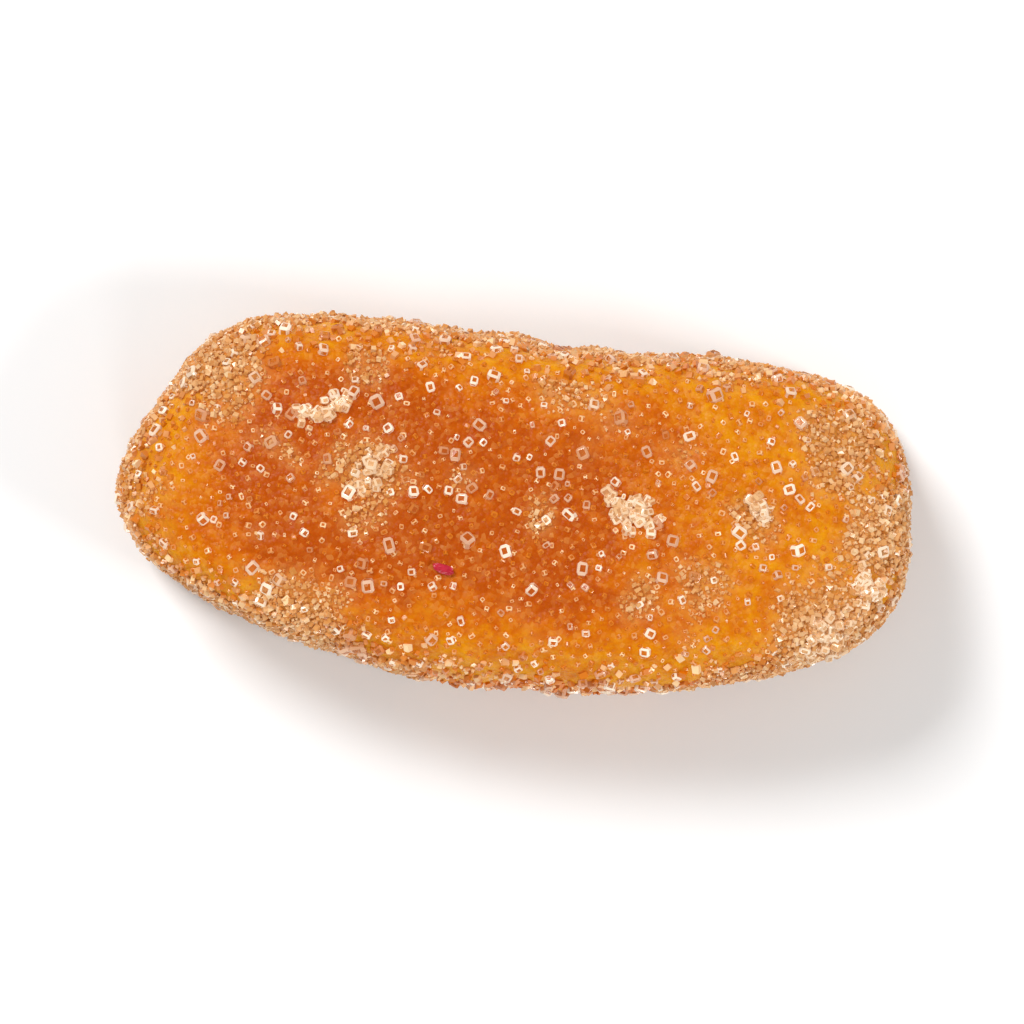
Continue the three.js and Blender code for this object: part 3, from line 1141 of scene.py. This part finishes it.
# %% Crumb finish
CRUMB_REDS = (srgb(176, 14, 44), srgb(206, 36, 62))
CRUMB_SCALES = {"patches": 2400.0, "grit": 6000.0}
crumb_material, tree, shader = new_material("red_jelly")
cloudy = use_group(tree, patches, CRUMB_SCALES["patches"]).outputs["Mask"]
tree.links.new(blend(tree, cloudy, *CRUMB_REDS), shader.inputs["Base Color"])
grains = use_group(tree, grit, CRUMB_SCALES["grit"])
lift_surface(tree, shader, grains.outputs["Height"], strength=0.4, distance=0.05 * MM)
shader.inputs["Roughness"].default_value = 0.3
crumb_mesh.materials.append(crumb_material)
print("crumb finish has", len(tree.nodes), "nodes")

# %% [markdown]
# ## Floor and light
# The slice lies on a plain pale floor, under soft light from large lamps, as small goods are
# photographed: the key lamp from behind to the left, a fill from the right and a low lamp that
# catches the crystals from the front.

# %% Floor
FLOOR_ACROSS = 3.0
FLOOR_WHITE = 0.94
floor_mesh = bpy.data.meshes.new("floor")
side = FLOOR_ACROSS / 2
corners = [(-side, -side, 0), (side, -side, 0), (side, side, 0), (-side, side, 0)]
floor_mesh.from_pydata(corners, [], [(0, 1, 2, 3)])
floor = in_scene("floor", floor_mesh)
floor_material, tree, shader = new_material("pale_floor")
shader.inputs["Base Color"].default_value = (FLOOR_WHITE, FLOOR_WHITE, FLOOR_WHITE, 1)
shader.inputs["Roughness"].default_value = 0.7
floor_mesh.materials.append(floor_material)
print("floor", FLOOR_ACROSS, "m across")

# %% [markdown]
# The studio's own walls are a weak white light from everywhere.

# %% Light
ROOM_LIGHT = 0.4
SOFTBOXES = {
    "key": {"place": (-0.25, 0.25, 0.4), "across": 0.16, "watts": 2.0},
    "fill": {"place": (0.4, -0.1, 0.35), "across": 0.12, "watts": 1.0},
    "glint": {"place": (0.05, -0.4, 0.12), "across": 0.1, "watts": 0.4},
}
world = bpy.data.worlds.new("studio")
bpy.context.scene.world = world
world.use_nodes = True
world.node_tree.nodes["Background"].inputs["Color"].default_value = (1, 1, 1, 1)
world.node_tree.nodes["Background"].inputs["Strength"].default_value = ROOM_LIGHT
for name, box in SOFTBOXES.items():
    light = bpy.data.lights.new(name, "AREA")
    light.size = box["across"]
    light.energy = box["watts"]
    lamp = in_scene(name, light)
    lamp.location = box["place"]
    lamp.rotation_euler = (-Vector(box["place"])).to_track_quat("-Z", "Y").to_euler()
print("lamps:", list(SOFTBOXES))

# %% [markdown]
# ## Camera
# The camera looks straight down on the broad face through a long lens, with the slice turned a
# little, as it lies. Standard is the view transform that leaves the orange as bright as it is.

# %% Camera
VIEW_TURN = math.radians(7)
LENS = 120.0
SENSOR = 36.0
FRAME_ACROSS = 58 * MM
camera_data = bpy.data.cameras.new("camera")
camera_data.lens = LENS
camera_data.sensor_width = SENSOR
camera_data.clip_start = 0.01
camera = in_scene("camera", camera_data)
middle = (cad_box[0] + cad_box[1]) / 2
camera.location = (middle.x, middle.y, cad_box[1].z + FRAME_ACROSS * LENS / SENSOR)
camera.rotation_euler = (0, 0, VIEW_TURN)
bpy.context.scene.camera = camera
bpy.context.scene.view_settings.view_transform = "Standard"
print("camera", round(camera.location.z, 3), "m up")

# %% [markdown]
# ## Light paths
# Light that has bounced off three surfaces adds little more here, so the paths are kept short,
# which makes the picture much quicker and changes it hardly at all. Only a path through the clear
# crystals may go on for longer, or the gaps in a heap of them would turn black.

# %% Light paths
cycles = bpy.context.scene.cycles
cycles.max_bounces = 6
cycles.diffuse_bounces = 3
cycles.glossy_bounces = 2
cycles.transparent_max_bounces = 16
print("diffuse bounces:", cycles.diffuse_bounces)

# %% [markdown]
# ## Riding and finishing
# The slice is one body, so every piece rides on the root. The jelly stands for the solid, and the
# sugar takes its own finish.

# %% Finish
pieces = (jelly, crumb, fine_sugar, side_sugar, base_sugar, frosting, dust, coarse_sugar, clumps)
for piece in pieces:
    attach(piece, "root")
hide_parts("jelly_slice")
triangles = sum(len(face.vertices) - 2 for piece in pieces for face in piece.data.polygons)
print("triangles in all:", triangles)
